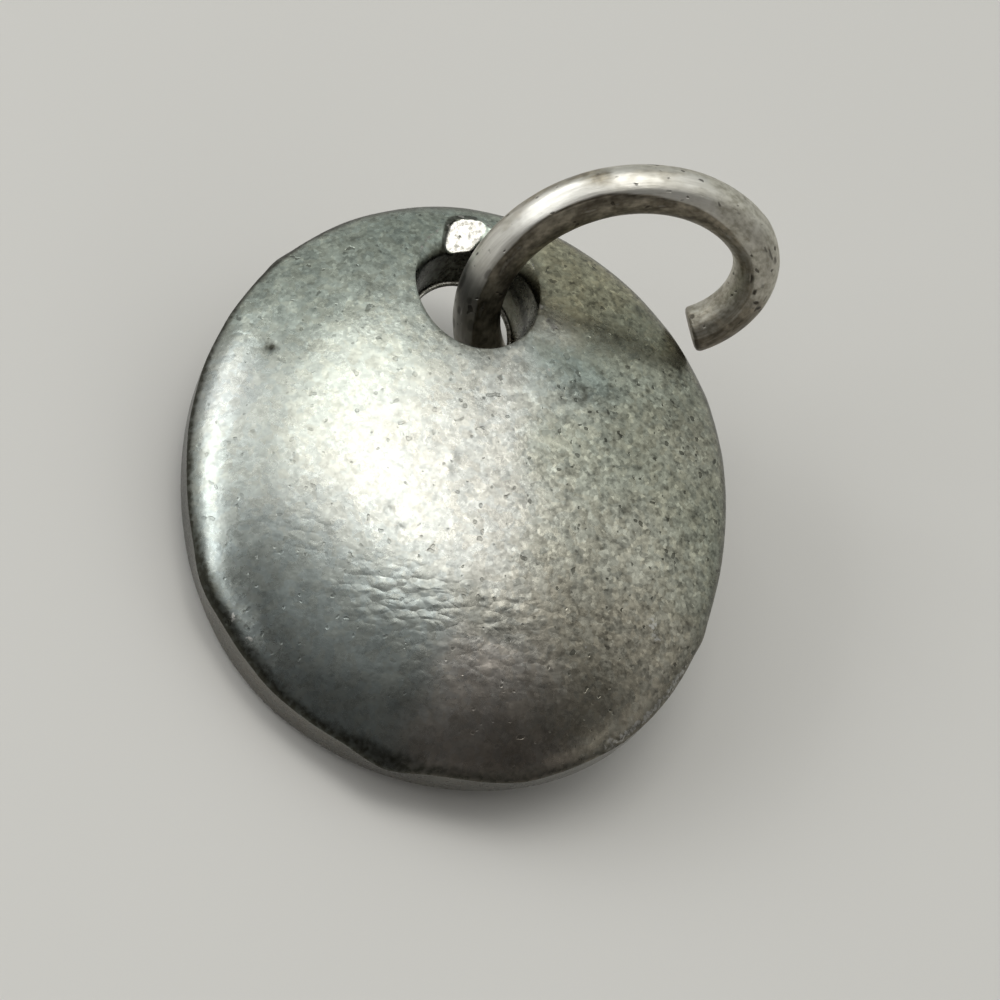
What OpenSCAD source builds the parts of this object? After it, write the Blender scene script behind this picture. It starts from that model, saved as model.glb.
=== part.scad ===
/* [Disc] */
// Width of the disc, across the line from its hole to its far end
disc_w = 16.85; // [16:0.05:17.6]
// Length of the disc, along the line from its hole to its far end
disc_l = 18.7; // [18.4:0.1:19.4]
// Thickness at the crown of the dome
crown_h = 3.2; // [2.8:0.1:3.6]
// Height of the side wall, up to the crease where the dome meets it
wall_h = 1.4; // [1.2:0.05:1.5]
// Radius of the edge round the flat back
back_r = 0.35; // [0.2:0.05:0.5]
// Fullness of the dome, where 2 is an oval section and more is flatter on top
dome_power = 2.2; // [2:0.1:2.6]
// Share of its curve that the dome has run at the crease, where 1 would end upright
dome_share = 0.985; // [0.97:0.005:0.99]

/* [Hole] */
// Width of the hole at the back, where it is narrowest
hole_w = 3.35; // [3.3:0.05:3.45]
// Length of the hole at the back, along the line to the far end
hole_l = 3.5; // [3.4:0.05:3.6]
// Sideways distance on the back from the middle of the disc to the middle of the hole
hole_x = -0.05; // [-0.1:0.05:0.1]
// Distance on the back from the middle of the disc to the middle of the hole
hole_y = 5.45; // [5.4:0.05:5.5]
// Width of the tapered hole under its front lip, where it is round
bore_d = 3.75; // [3.65:0.05:3.8]
// Distance from the middle of the disc to the middle of the hole under its front lip
bore_y = 5.72; // [5.68:0.02:5.76]
// Width of the mouth that the ring has worn into the front
mouth_w = 3.95; // [3.9:0.05:4.05]
// Length of the worn mouth, along the line to the far end
mouth_l = 4.8; // [4.7:0.05:4.85]
// Distance from the middle of the disc to the middle of the worn mouth
mouth_y = 6.15; // [6.12:0.01:6.18]
// Depth of the worn lip between the mouth and the hole
lip_depth = 0.25; // [0.15:0.05:0.3]
// Radius on the back lip of the hole
back_lip_r = 0.3; // [0.25:0.05:0.35]

/* [Jump ring] */
// Thickness of the wire
wire_d = 1.5; // [1.2:0.05:1.55]
// Radius of the ring, to the middle of its wire
ring_r = 4.6; // [4.5:0.05:4.7]
// Sweep of the round part of the ring, in degrees
ring_sweep = 250; // [235:1:255]
// Radius of the end that is bent in, to the middle of its wire
bend_r = 2.5; // [2.3:0.1:2.8]
// Sweep of the end that is bent in, in degrees
bend_sweep = 112; // [100:1:118]
// Thickness that the pliers left at the bent end
bend_wire_d = 1.46; // [1.1:0.02:1.5]

/* [Ring in the hole] */
// Middle of the ring, sideways from the middle of the disc
ring_x = 4.9; // [4.8:0.05:5]
// Middle of the ring, towards the near edge
ring_y = 6.6; // [6.55:0.05:6.7]
// Middle of the ring, above the flat back
ring_z = 1.6; // [1.5:0.05:1.7]
// Lean of the axis of the ring from square to the back, in degrees
ring_lean = 65; // [64:0.5:66]
// Heading of the axis of the ring, in degrees
ring_heading = -85.5; // [-87:0.5:-84]
// Place where the bent end begins, in degrees round from the underside of the ring
bend_at = 136; // [130:1:140]

/* [Rest] */
// Heading of the side of the disc that the ring props up, in degrees
prop_heading = 42.5; // [38:0.5:48]

/* [Hidden] */

// Grid of the disc, whose rows over the dome close up towards the crease
around = 80;
dome_rows = 17;
dome_closing = 1.7;
back_rows = 3;
wall_rows = 4;
quarter = [0, 22.5, 45, 67.5, 90];
headings = [for (i = [0 : around - 1]) 360 * i / around];

// The outline is an oval with a few faint waves of a hand-made edge
mean_r = (disc_w + disc_l) / 4;
oval = (disc_l - disc_w) / (disc_l + disc_w);
// Columns: number of waves round the edge, height as a share of the radius, heading of a crest
waves = [
    [3, 0.003, -55],
    [4, 0.006, 36],
    [5, 0.004, 16],
];

function total(list, i = 0) = i == len(list) ? 0 : list[i] + total(list, i + 1);

function edge_r(a) =
    mean_r * (1 - oval * cos(2 * a) + total([for (w = waves) w[1] * cos(w[0] * (a - w[2]))]));

// Height above the back at which the dome's curve would end upright
share_left = sqrt(1 - pow(dome_share, dome_power));
dome_base = (wall_h - crown_h * share_left) / (1 - share_left);

// Height of the dome over the point x, y of the back
function dome_z(x, y) =
    let (reach = dome_share * min(1, norm([x, y]) / edge_r(atan2(y, x))))
    dome_base + (crown_h - dome_base) * sqrt(1 - pow(reach, dome_power));

function mix(first, second, t) = first + (second - first) * t;

// A point of the hole's wall at height z, from the back at t = 0 to the front lip at t = 1,
// grown outwards by grow
function hole_point(a, t, z, grow = 0) = [
    mix(hole_x, 0, t) + (mix(hole_w, bore_d, t) / 2 + grow) * cos(a),
    mix(hole_y, bore_y, t) + (mix(hole_l, bore_d, t) / 2 + grow) * sin(a),
    z,
];

// The rim of the worn mouth, which lies on the dome
function mouth_point(a) =
    let (x = mouth_w / 2 * cos(a), y = mouth_y + mouth_l / 2 * sin(a))
    [x, y, dome_z(x, y)];

// Closed loops of the disc, from the front lip of the hole over the dome to its crease, down
// the side wall, across the flat back and up through the hole
function front_lip_loops() = [
    for (t = quarter) [
        for (a = headings)
            let (
                rim = mouth_point(a),
                wall = hole_point(a, 1, rim.z - lip_depth)
            )
            [
                mix(rim.x, wall.x, cos(t)),
                mix(rim.y, wall.y, cos(t)),
                mix(wall.z, rim.z, sin(t)),
            ],
    ],
];

function dome_loops() = [
    for (i = [1 : dome_rows]) [
        for (a = headings)
            let (
                rim = mouth_point(a),
                t = 1 - pow(1 - i / dome_rows, dome_closing),
                x = mix(rim.x, edge_r(a) * cos(a), t),
                y = mix(rim.y, edge_r(a) * sin(a), t)
            )
            [x, y, dome_z(x, y)],
    ],
];

function back_edge_loops() = [
    for (t = quarter) [
        for (a = headings)
            let (out = edge_r(a) - back_r * (1 - cos(t)))
            [out * cos(a), out * sin(a), back_r * (1 - sin(t))],
    ],
];

function back_loops() = [
    for (i = [1 : back_rows]) [
        for (a = headings)
            let (
                r = edge_r(a) - back_r,
                lip = hole_point(a, 0, 0, back_lip_r)
            )
            mix([r * cos(a), r * sin(a), 0], lip, i / back_rows),
    ],
];

function back_lip_loops() = [
    for (t = [for (q = quarter) if (q > 0) q]) [
        for (a = headings) hole_point(a, 0, back_lip_r * (1 - cos(t)), back_lip_r * (1 - sin(t))),
    ],
];

function hole_wall_loops() = [
    for (i = [1 : wall_rows - 1]) [
        for (a = headings)
            let (top = mouth_point(a).z - lip_depth, t = i / wall_rows)
            hole_point(a, t, mix(back_lip_r, top, t)),
    ],
];

disc_loops = concat(
    front_lip_loops(), dome_loops(), back_edge_loops(), back_loops(),
    back_lip_loops(), hole_wall_loops()
);

// Turns of the ring, in its own plane with the first axis pointing to its underside
wire_r = wire_d / 2;
// The bent end runs this many degrees into the round part, which is a hair thicker
seat = 3;
bend_centre = (ring_r - bend_r) * [cos(bend_at), sin(bend_at)];
ring_line = concat(
    [for (i = [0 : 2 : bend_sweep]) bend_centre + bend_r * [cos(bend_at - i), sin(bend_at - i)]],
    [for (i = [0 : 2 : ring_sweep]) ring_r * [cos(bend_at + i), sin(bend_at + i)]]
);

// A point of the ring's plane, in the frame of the disc
function from_ring(p) =
    let (
        down = [cos(ring_lean) * cos(ring_heading), cos(ring_lean) * sin(ring_heading), -sin(ring_lean)],
        side = [-sin(ring_heading), cos(ring_heading), 0]
    )
    [ring_x, ring_y, ring_z] + p.x * down + p.y * side;

// Resting pose: the disc lies on its edge and on the underside of the ring, so it is
// turned about a level axis until both touch the ground
prop_axis = [sin(prop_heading), -cos(prop_heading), 0];

function turned(p, angle) =
    p * cos(angle) + cross(prop_axis, p) * sin(angle)
    + prop_axis * (prop_axis * p) * (1 - cos(angle));

edge_points = [for (loop = back_edge_loops()) for (p = loop) p];
ring_points = [for (p = ring_line) from_ring(p)];
lowest_angle = 0;
highest_angle = 30;
halvings = 24;

function disc_low(angle) = min([for (p = edge_points) turned(p, angle).z]);
function ring_low(angle) = min([for (p = ring_points) turned(p, angle).z]) - wire_r;
function propped(low, high, n) =
    let (middle = (low + high) / 2)
    n == 0 ? middle
    : disc_low(middle) > ring_low(middle) ? propped(middle, high, n - 1)
    : propped(low, middle, n - 1);

prop_angle = propped(lowest_angle, highest_angle, halvings);
disc_spots = [for (loop = concat(dome_loops(), back_edge_loops())) for (p = loop) turned(p, prop_angle)];
ring_spots = [for (p = ring_points) turned(p, prop_angle)];

// Middle of the whole, over the ground
function low_side(i) = min(concat([for (p = disc_spots) p[i]], [for (p = ring_spots) p[i] - wire_r]));
function high_side(i) = max(concat([for (p = disc_spots) p[i]], [for (p = ring_spots) p[i] + wire_r]));
middle_x = (low_side(0) + high_side(0)) / 2;
middle_y = (low_side(1) + high_side(1)) / 2;

module lying() {
    translate([-middle_x, -middle_y, -ring_low(prop_angle)])
        rotate(a = prop_angle, v = prop_axis)
            children();
}

// A solid whose skin is closed both along and across its loops
module looped_solid(loops) {
    across = len(loops);
    along = len(loops[0]);
    function at(i, j) = (i % across) * along + j % along;
    polyhedron(
        points = [for (loop = loops) for (p = loop) p],
        faces = [
            for (i = [0 : across - 1])
                for (j = [0 : along - 1])
                    for (half = [0, 1])
                        half == 0
                        ? [at(i, j), at(i + 1, j), at(i + 1, j + 1)]
                        : [at(i, j), at(i + 1, j + 1), at(i, j + 1)],
        ],
        convexity = 6
    );
}

// An arc of round wire about the third axis
module wire_arc(radius, start, sweep, thickness) {
    rotate([0, 0, start])
        rotate_extrude(angle = sweep, $fn = 180)
            translate([radius, 0])
                circle(d = thickness, $fn = 48);
}

// The domed casting, with its plain side up and its flat back down
module disc() {
    color("#8d918b")
        lying()
            looped_solid(disc_loops);
}

// The open ring of thick wire, with the end that is bent in
module jump_ring() {
    color("#a8a69f")
        lying()
            translate([ring_x, ring_y, ring_z])
                rotate([0, ring_lean, ring_heading])
                    union() {
                        wire_arc(ring_r, bend_at, ring_sweep, wire_d);
                        translate([bend_centre.x, bend_centre.y, 0])
                            wire_arc(bend_r, bend_at - bend_sweep, bend_sweep + seat, bend_wire_d);
                    }
}

disc();
jump_ring();
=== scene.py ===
import math

import bpy
import numpy as np
from mathutils import Matrix, Vector, noise


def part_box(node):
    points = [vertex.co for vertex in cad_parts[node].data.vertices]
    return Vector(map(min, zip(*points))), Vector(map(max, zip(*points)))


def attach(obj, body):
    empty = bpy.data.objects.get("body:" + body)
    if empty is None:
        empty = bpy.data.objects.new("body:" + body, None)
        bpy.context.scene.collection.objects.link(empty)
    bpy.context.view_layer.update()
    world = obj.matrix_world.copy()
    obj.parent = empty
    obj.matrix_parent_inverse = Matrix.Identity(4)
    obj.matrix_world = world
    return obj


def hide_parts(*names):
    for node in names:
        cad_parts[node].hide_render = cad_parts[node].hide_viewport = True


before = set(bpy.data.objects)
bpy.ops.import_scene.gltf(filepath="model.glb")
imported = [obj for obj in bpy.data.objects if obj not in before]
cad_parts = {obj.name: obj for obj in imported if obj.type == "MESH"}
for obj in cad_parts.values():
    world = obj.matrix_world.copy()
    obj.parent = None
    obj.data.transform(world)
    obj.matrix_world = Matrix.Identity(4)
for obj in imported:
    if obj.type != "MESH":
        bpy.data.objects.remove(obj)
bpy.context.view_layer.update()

MM = 0.001

# Driving sizes, in millimetres and degrees, the same as in the part's source
DISC_W, DISC_L = 16.85, 18.7
CROWN_H, WALL_H, BACK_R = 3.2, 1.4, 0.35
DOME_POWER, DOME_SHARE = 2.2, 0.985
# The tapered hole at the back and under its front lip, and the mouth that the ring has worn
HOLE_W, HOLE_L, HOLE_X, HOLE_Y = 3.35, 3.5, -0.05, 5.45
BORE_D, BORE_Y = 3.75, 5.72
MOUTH_W, MOUTH_L, MOUTH_Y = 3.95, 4.8, 6.15
LIP_DEPTH, BACK_LIP_R = 0.25, 0.3
WIRE_D, BEND_WIRE_D = 1.5, 1.46
RING_R, RING_SWEEP = 4.6, 250
BEND_R, BEND_SWEEP, BEND_AT = 2.5, 112, 136
RING_MIDDLE = (4.9, 6.6, 1.6)
RING_LEAN, RING_HEADING = 65, -85.5
PROP_HEADING = 42.5
# Search for the turn that lays the pendant down: the widest one, and how often the span is halved
WIDEST_TURN, HALVINGS = 30, 24
# Faint waves of the hand-made edge: number round it, height as a share, heading of a crest
WAVES = ((3, 0.003, -55), (4, 0.006, 36), (5, 0.004, 16))

# The photograph's view of the disc, in degrees, millimetres and pixels, with its clipping in metres
VIEW_TILT = 26.7
TILT_TOWARDS = 55
HOLE_TOWARDS = 83
VIEW_DISTANCE = 90
VIEW_OFFSET = (-1.48, -0.02)
PHOTO_PIXELS = 1000
PIXELS_PER_MM = 32.7
SENSOR = 36
NEAREST, FARTHEST = 0.005, 10

# Mesh of the disc: columns round it, and rows across each stretch of it
COLUMNS = 384
LIP_ROWS, DOME_ROWS, WALL_ROWS = 16, 140, 12
DOME_CLOSING = 1.35
BACK_EDGE_ROWS, BACK_ROWS, BACK_LIP_ROWS, HOLE_ROWS = 10, 28, 8, 22
# Extra rows of the hole's wall at the flash round its back rim
FLASH_ROWS = 14
# The side wall's first row under the crease, as a share of its height
CREASE_STEP = 0.02

# Mesh of the ring: sections along the wire and points round each
RING_SECTIONS = 800
ROUND_WIRE = 88
# Rounding of the wire's cut ends, and the length over which the bent end thickens
END_ROUND, END_BLEND = 0.16, 1

# Too small to matter, against rounding errors
HAIR = 1e-6


def smooth(low, high, value):
    """0 below low, 1 above high, and a smooth rise between them."""
    t = np.clip((value - low) / (high - low), 0, 1)
    return t * t * (3 - 2 * t)


def noise_at(points, size, offset=0.0):
    """Smooth noise from -1 to 1, in lumps of about the given size."""
    scaled = points / size + offset
    return np.array([noise.noise(Vector(p)) for p in scaled])


def noise_on_plan(points, size, offset):
    """The same noise, alike all the way down through the disc."""
    return noise_at(points * (1, 1, 0), size, offset)


def lumpy(points, rows):
    """Height of a lumpy skin, from rows of height, size and offset of its lumps."""
    return sum(height * noise_at(points, size, offset) for height, size, offset in rows)


def bell(away):
    """1 at 0, and next to nothing beyond 2 to either side."""
    return np.exp(-away ** 2)


def stretch(value, start, full, end, gone):
    """1 from full to end, fading out to nothing at start and gone."""
    return smooth(start, full, value) * (1 - smooth(end, gone, value))


def edge_radius(angle):
    mean = (DISC_W + DISC_L) / 4
    share = 1 - (DISC_L - DISC_W) / (DISC_L + DISC_W) * np.cos(2 * angle)
    for count, height, crest in WAVES:
        share = share + height * np.cos(count * (angle - math.radians(crest)))
    return mean * share


def dome_height(x, y):
    """Height of the dome, whose curve would end upright a little outside the crease."""
    left = math.sqrt(1 - DOME_SHARE ** DOME_POWER)
    base = (WALL_H - CROWN_H * left) / (1 - left)
    reach = DOME_SHARE * np.minimum(1, np.hypot(x, y) / edge_radius(np.arctan2(y, x)))
    return base + (CROWN_H - base) * np.sqrt(1 - reach ** DOME_POWER)


def mix(first, second, share):
    return first + (second - first) * share


def loop(angle, radius, z):
    """A loop of points round the disc."""
    return np.stack([radius * np.cos(angle), radius * np.sin(angle), z + 0 * angle], 1)


def hole_point(angle, share, z, grow=0.0):
    """A loop of the hole's wall at height z, with share 0 at the back and 1 at the front lip."""
    x = mix(HOLE_X, 0, share) + (mix(HOLE_W, BORE_D, share) / 2 + grow) * np.cos(angle)
    y = mix(HOLE_Y, BORE_Y, share) + (mix(HOLE_L, BORE_D, share) / 2 + grow) * np.sin(angle)
    return np.stack([x, y, z + 0 * angle], 1)


def mouth_point(angle):
    """The rim of the worn mouth, which lies on the dome."""
    x = MOUTH_W / 2 * np.cos(angle)
    y = MOUTH_Y + MOUTH_L / 2 * np.sin(angle)
    return np.stack([x, y, dome_height(x, y)], 1)


def arc(rows):
    """Angles of a quarter turn, in radians."""
    return np.linspace(0, math.pi / 2, rows + 1)


def front_lip_rows(angle):
    rim = mouth_point(angle)
    wall = hole_point(angle, 1, rim[:, 2] - LIP_DEPTH)
    for t in arc(LIP_ROWS):
        row = mix(rim, wall, math.cos(t))
        row[:, 2] = mix(wall[:, 2], rim[:, 2], math.sin(t))
        yield row


def dome_rows(angle):
    rim = mouth_point(angle)
    radius = edge_radius(angle)
    for step in np.linspace(0, 1, DOME_ROWS + 1)[1:]:
        t = 1 - (1 - step) ** DOME_CLOSING
        x = mix(rim[:, 0], radius * np.cos(angle), t)
        y = mix(rim[:, 1], radius * np.sin(angle), t)
        yield np.stack([x, y, dome_height(x, y)], 1)


def wall_rows(angle):
    radius = edge_radius(angle)
    for t in np.linspace(CREASE_STEP, 1, WALL_ROWS + 1)[:-1]:
        yield loop(angle, radius, WALL_H + (BACK_R - WALL_H) * t)


def back_edge_rows(angle):
    for t in arc(BACK_EDGE_ROWS):
        radius = edge_radius(angle) - BACK_R * (1 - math.cos(t))
        yield loop(angle, radius, BACK_R * (1 - math.sin(t)))


def back_rows(angle):
    rim = loop(angle, edge_radius(angle) - BACK_R, 0)
    lip = hole_point(angle, 0, 0, BACK_LIP_R)
    for t in np.linspace(0, 1, BACK_ROWS + 1)[1:]:
        yield mix(rim, lip, t)


def back_lip_rows(angle):
    for t in arc(BACK_LIP_ROWS)[1:]:
        yield hole_point(angle, 0, BACK_LIP_R * (1 - math.cos(t)), BACK_LIP_R * (1 - math.sin(t)))


def hole_rows(angle):
    top = mouth_point(angle)[:, 2] - LIP_DEPTH
    wall = np.linspace(0, 1, HOLE_ROWS + 1)[1:-1]
    flash = np.linspace(*FLASH_SHARES, FLASH_ROWS)
    for t in np.sort(np.concatenate([wall, flash])):
        yield hole_point(angle, t, mix(BACK_LIP_R, top, t))


def disc_grid():
    """Points of the disc in its own frame, as rows of closed loops."""
    angle = np.linspace(0, 2 * math.pi, COLUMNS, endpoint=False)
    parts = (front_lip_rows, dome_rows, wall_rows, back_edge_rows, back_rows, back_lip_rows, hole_rows)
    return np.array([row for part in parts for row in part(angle)])


def ring_plane():
    """Directions of the ring's plane in the disc's frame: to its underside, sideways, and its axis."""
    lean, heading = math.radians(RING_LEAN), math.radians(RING_HEADING)
    level = math.cos(lean)
    down = np.array([level * math.cos(heading), level * math.sin(heading), -math.sin(lean)])
    side = np.array([-math.sin(heading), math.cos(heading), 0.0])
    return down, side, np.cross(down, side)


def ring_path(sections):
    """Way along the wire from the bent end, its middle and its outward direction, in the ring's plane."""
    bend_at = math.radians(BEND_AT)
    bend_length = BEND_R * math.radians(BEND_SWEEP)
    round_length = RING_R * math.radians(RING_SWEEP)
    way = np.linspace(0, bend_length + round_length, sections)
    bent = way < bend_length
    radius = np.where(bent, BEND_R, RING_R)
    turn = bend_at + (way - bend_length) / radius
    outward = np.stack([np.cos(turn), np.sin(turn)], 1)
    bend_centre = (RING_R - BEND_R) * np.array([math.cos(bend_at), math.sin(bend_at)])
    point = bent[:, None] * bend_centre + radius[:, None] * outward
    return way, point, outward


def prop_turn(low_points, ring_points):
    """The turn at which the disc's edge and the ring's underside lie level."""
    heading = math.radians(PROP_HEADING)
    axis = Vector((math.sin(heading), -math.cos(heading), 0))
    low, high = 0.0, math.radians(WIDEST_TURN)
    for _ in range(HALVINGS):
        middle = (low + high) / 2
        turn = np.array(Matrix.Rotation(middle, 3, axis))
        disc_low = (low_points @ turn.T)[:, 2].min()
        ring_low = (ring_points @ turn.T)[:, 2].min() - WIRE_D / 2
        if disc_low > ring_low:
            low = middle
        else:
            high = middle
    return turn


def ring_points_3d(point):
    down, side, _ = ring_plane()
    return np.array(RING_MIDDLE) + point[:, :1] * down + point[:, 1:] * side


def lying_pose(grid):
    """Turn and shift from the disc's frame to the shared frame."""
    _, point, _ = ring_path(RING_SECTIONS)
    turn = prop_turn(grid.reshape(-1, 3), ring_points_3d(point))
    placed = grid.reshape(-1, 3) @ turn.T
    low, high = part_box("disc")
    middle = np.array((low + high) / 2) / MM
    shift = middle - (placed.min(0) + placed.max(0)) / 2
    return turn, shift


def grid_mesh(name, grid, closed_rows, caps=False):
    """A mesh over rows of closed loops."""
    rows, columns = grid.shape[:2]
    index = np.arange(rows * columns).reshape(rows, columns)
    bands = rows if closed_rows else rows - 1
    here = index[:bands]
    above = np.roll(index, -1, 0)[:bands]
    quads = np.stack([here, above, np.roll(above, -1, 1), np.roll(here, -1, 1)], 2).reshape(-1, 4)
    faces = quads.tolist()
    if caps:
        faces.append(index[0].tolist())
        faces.append(index[-1][::-1].tolist())
    mesh = bpy.data.meshes.new(name)
    mesh.from_pydata(grid.reshape(-1, 3).tolist(), [], faces)
    mesh.shade_smooth()
    return mesh


def mesh_normals(mesh):
    normals = np.zeros(len(mesh.vertices) * 3, np.float32)
    mesh.vertices.foreach_get("normal", normals)
    return normals.reshape(-1, 3).astype(float)


def set_points(mesh, points):
    mesh.vertices.foreach_set("co", points.astype(np.float32).ravel())
    mesh.update()


def add_attribute(mesh, name, values):
    """Give each point of the mesh a value or a vector."""
    kind, field = ("FLOAT", "value") if values.ndim == 1 else ("FLOAT_VECTOR", "vector")
    made = mesh.attributes.new(name, kind, "POINT")
    made.data.foreach_set(field, values.astype(np.float32).ravel())


# Lumps of the cast skin: height and size in millimetres, and offset of the noise
SKIN_LUMPS = ((0.02, 3.4, 0.0), (0.006, 1.3, 7.0), (0.004, 0.5, 3.0))

# Marks on the front of the disc: place x, y, radius and height, all in millimetres
MARKS = (
    (-6.22, 3.23, 0.13, -0.03),
    (-2.62, -1.89, 0.12, -0.03),
    (-2.24, -2.41, 0.12, -0.03),
    (-0.77, 0.03, 0.16, 0.02),
    (-0.88, -0.43, 0.15, 0.02),
    (3.13, 2.72, 0.18, 0.02),
    (5.77, -4.36, 0.3, 0.015),
    (4.73, -7.77, 0.22, -0.1),
    (4.95, -7.55, 0.16, 0.07),
)

# Wander of the crease: heading, reach to each side in degrees, and shift outwards in millimetres
CREASE_WANDER = (
    (209, 7, 0.12),
    (257, 6, 0.22),
    (282, 7, 0.11),
    (133, 3, 0.05),
    (331, 3, 0.05),
)
# A faint shake of the crease besides: its amount and wave size
SHAKE, SHAKE_SIZE = 0.02, 1.1
# The wander fades over the dome between these shares of the way out, and down the wall by a power
WANDER_REACH, WANDER_POWER = (0.88, 1.0), 1.5

# The flat that the ring has worn beside the hole: a point on it, its normal, half its width and
# length, its slant, and how much it widens per millimetre towards the disc's edge
FLAT_POINT = (-0.33, 8.06, 1.935)
FLAT_NORMAL = (-0.098, -0.045, 0.994)
FLAT_HALF = (0.53, 0.62)
FLAT_SLANT, FLAT_FLARE = 0.35, 0.15
# The power that rounds its corners, the shares of its size between which it fades out, and the
# depth from which the lip under it is filled up
FLAT_ROUNDING, FLAT_FADE, FLAT_FILL = 3, (0.98, 1.12), 0.165
# Its bright metal ends sooner, with an edge made ragged by this much in lumps of this size, and
# stays this close to its plane
FLAT_BRIGHT, FLAT_RAGGED, FLAT_LUMP, FLAT_SKIN = (0.94, 1.03), 0.1, 0.22, 0.06

# Wrinkled patches on the dome: place x, y, reach along x and y, and strength
WRINKLES = (
    (-1.8, -4.4, 2.5, 1.15, 0.95),
    (0.9, -4.5, 1.9, 0.95, 0.8),
    (2.9, -4.3, 1.3, 0.6, 0.5),
    (1.6, -2.9, 2.4, 1.1, 0.35),
    (-3.8, -4.4, 0.9, 0.5, 0.6),
    (0.8, -6.2, 3.6, 1.2, 0.45),
    (-4.8, -2.6, 1.2, 0.8, 0.5),
    (-7.3, 1.2, 0.7, 3.2, 0.45),
)

# A flash stands round the back rim of the hole: how far out, the height of its top over the back,
# and the shares of the hole's wall between which its extra rows lie
FLASH_OUT, FLASH_TOP = 0.09, 0.46
FLASH_SHARES = (0.01, 0.12)
# It rises over this height above the back lip, and falls off steeply from below to above its top
FLASH_RISE, FLASH_FALL = 0.06, (-0.01, 0.02)
# Half the width of the bright line along its upper side
FLASH_LINE = 0.035
# A point is in the hole when it is further than this within the rim of the worn mouth
HOLE_MARGIN = 0.02


def on_front(points):
    return points[:, 2] > WALL_H


def near(points, x, y, radius):
    """A round spot on the front of the disc, 1 at its middle."""
    return bell(np.hypot(points[:, 0] - x, points[:, 1] - y) / radius) * on_front(points)


def heading_of(points):
    """Degrees round the disc, from 0 to 360."""
    return np.degrees(np.arctan2(points[:, 1], points[:, 0])) % 360


def heading_gap(heading, middle):
    """Degrees between each heading and the middle, the short way round."""
    return np.abs((heading - middle + 180) % 360 - 180)


def reach_of(points):
    """Share of the way from the middle of the disc to its edge."""
    return np.hypot(points[:, 0], points[:, 1]) / edge_radius(np.arctan2(points[:, 1], points[:, 0]))


def disc_relief(points):
    """Height of the cast skin over the smooth form, in millimetres."""
    height = lumpy(points, SKIN_LUMPS)
    for x, y, radius, rise in MARKS:
        height += rise * near(points, x, y, radius)
    return height + FLASH_OUT * flash_share(points)


def mouth_gap(points):
    """Rough distance outwards from the rim of the worn mouth."""
    x = points[:, 0] / (MOUTH_W / 2)
    y = (points[:, 1] - MOUTH_Y) / (MOUTH_L / 2)
    return (np.hypot(x, y) - 1) * (MOUTH_W + MOUTH_L) / 4


def in_hole(points):
    return mouth_gap(points) < -HOLE_MARGIN


def flash_share(points):
    """1 on the flash round the back rim of the hole, with a steep upper side."""
    z = points[:, 2]
    falls, gone = (FLASH_TOP + step for step in FLASH_FALL)
    return in_hole(points) * stretch(z, BACK_LIP_R, BACK_LIP_R + FLASH_RISE, falls, gone)


def flash_crest(points):
    """1 along the upper side of the flash."""
    return bell((points[:, 2] - FLASH_TOP) / FLASH_LINE) * in_hole(points)


def flat_place(points):
    """Distance from the middle of the worn flat and place across it, as shares of its size, and
    height over its plane."""
    x, y, z = (points - FLAT_POINT).T
    across = (x - FLAT_SLANT * y) / (FLAT_HALF[0] + FLAT_FLARE * y)
    along = y / FLAT_HALF[1]
    away = (np.abs(across) ** FLAT_ROUNDING + np.abs(along) ** FLAT_ROUNDING) ** (1 / FLAT_ROUNDING)
    height = z + (FLAT_NORMAL[0] * x + FLAT_NORMAL[1] * y) / FLAT_NORMAL[2]
    return away, across, height


def flat_share(points):
    """1 on the bright metal of the worn flat."""
    away, _, height = flat_place(points)
    ragged = away + FLAT_RAGGED * noise_at(points, FLAT_LUMP, 6.0)
    return (1 - smooth(*FLAT_BRIGHT, ragged)) * (np.abs(height) < FLAT_SKIN)


def wear_flat(points):
    """Level the skin to the worn flat, down from the dome and up from the lip."""
    away, _, height = flat_place(points)
    points[:, 2] -= (1 - smooth(*FLAT_FADE, away)) * (height > -FLAT_FILL) * height
    return points


def wander_crease(points):
    """Let the crease wander in and out, with the dome and the wall beside it."""
    heading = heading_of(points)
    shift = SHAKE * noise_on_plan(points, SHAKE_SIZE, 5.0)
    for middle, reach, out in CREASE_WANDER:
        shift += out * bell(heading_gap(heading, middle) / reach)
    dome = smooth(*WANDER_REACH, reach_of(points))
    wall = np.clip((points[:, 2] - BACK_R) / (WALL_H - BACK_R), 0, 1) ** WANDER_POWER
    weight = np.where(points[:, 2] > WALL_H - HAIR, dome, wall)
    radius = np.maximum(np.hypot(points[:, 0], points[:, 1]), HAIR)
    points[:, :2] *= (1 + weight * shift / radius)[:, None]
    return points


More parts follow.
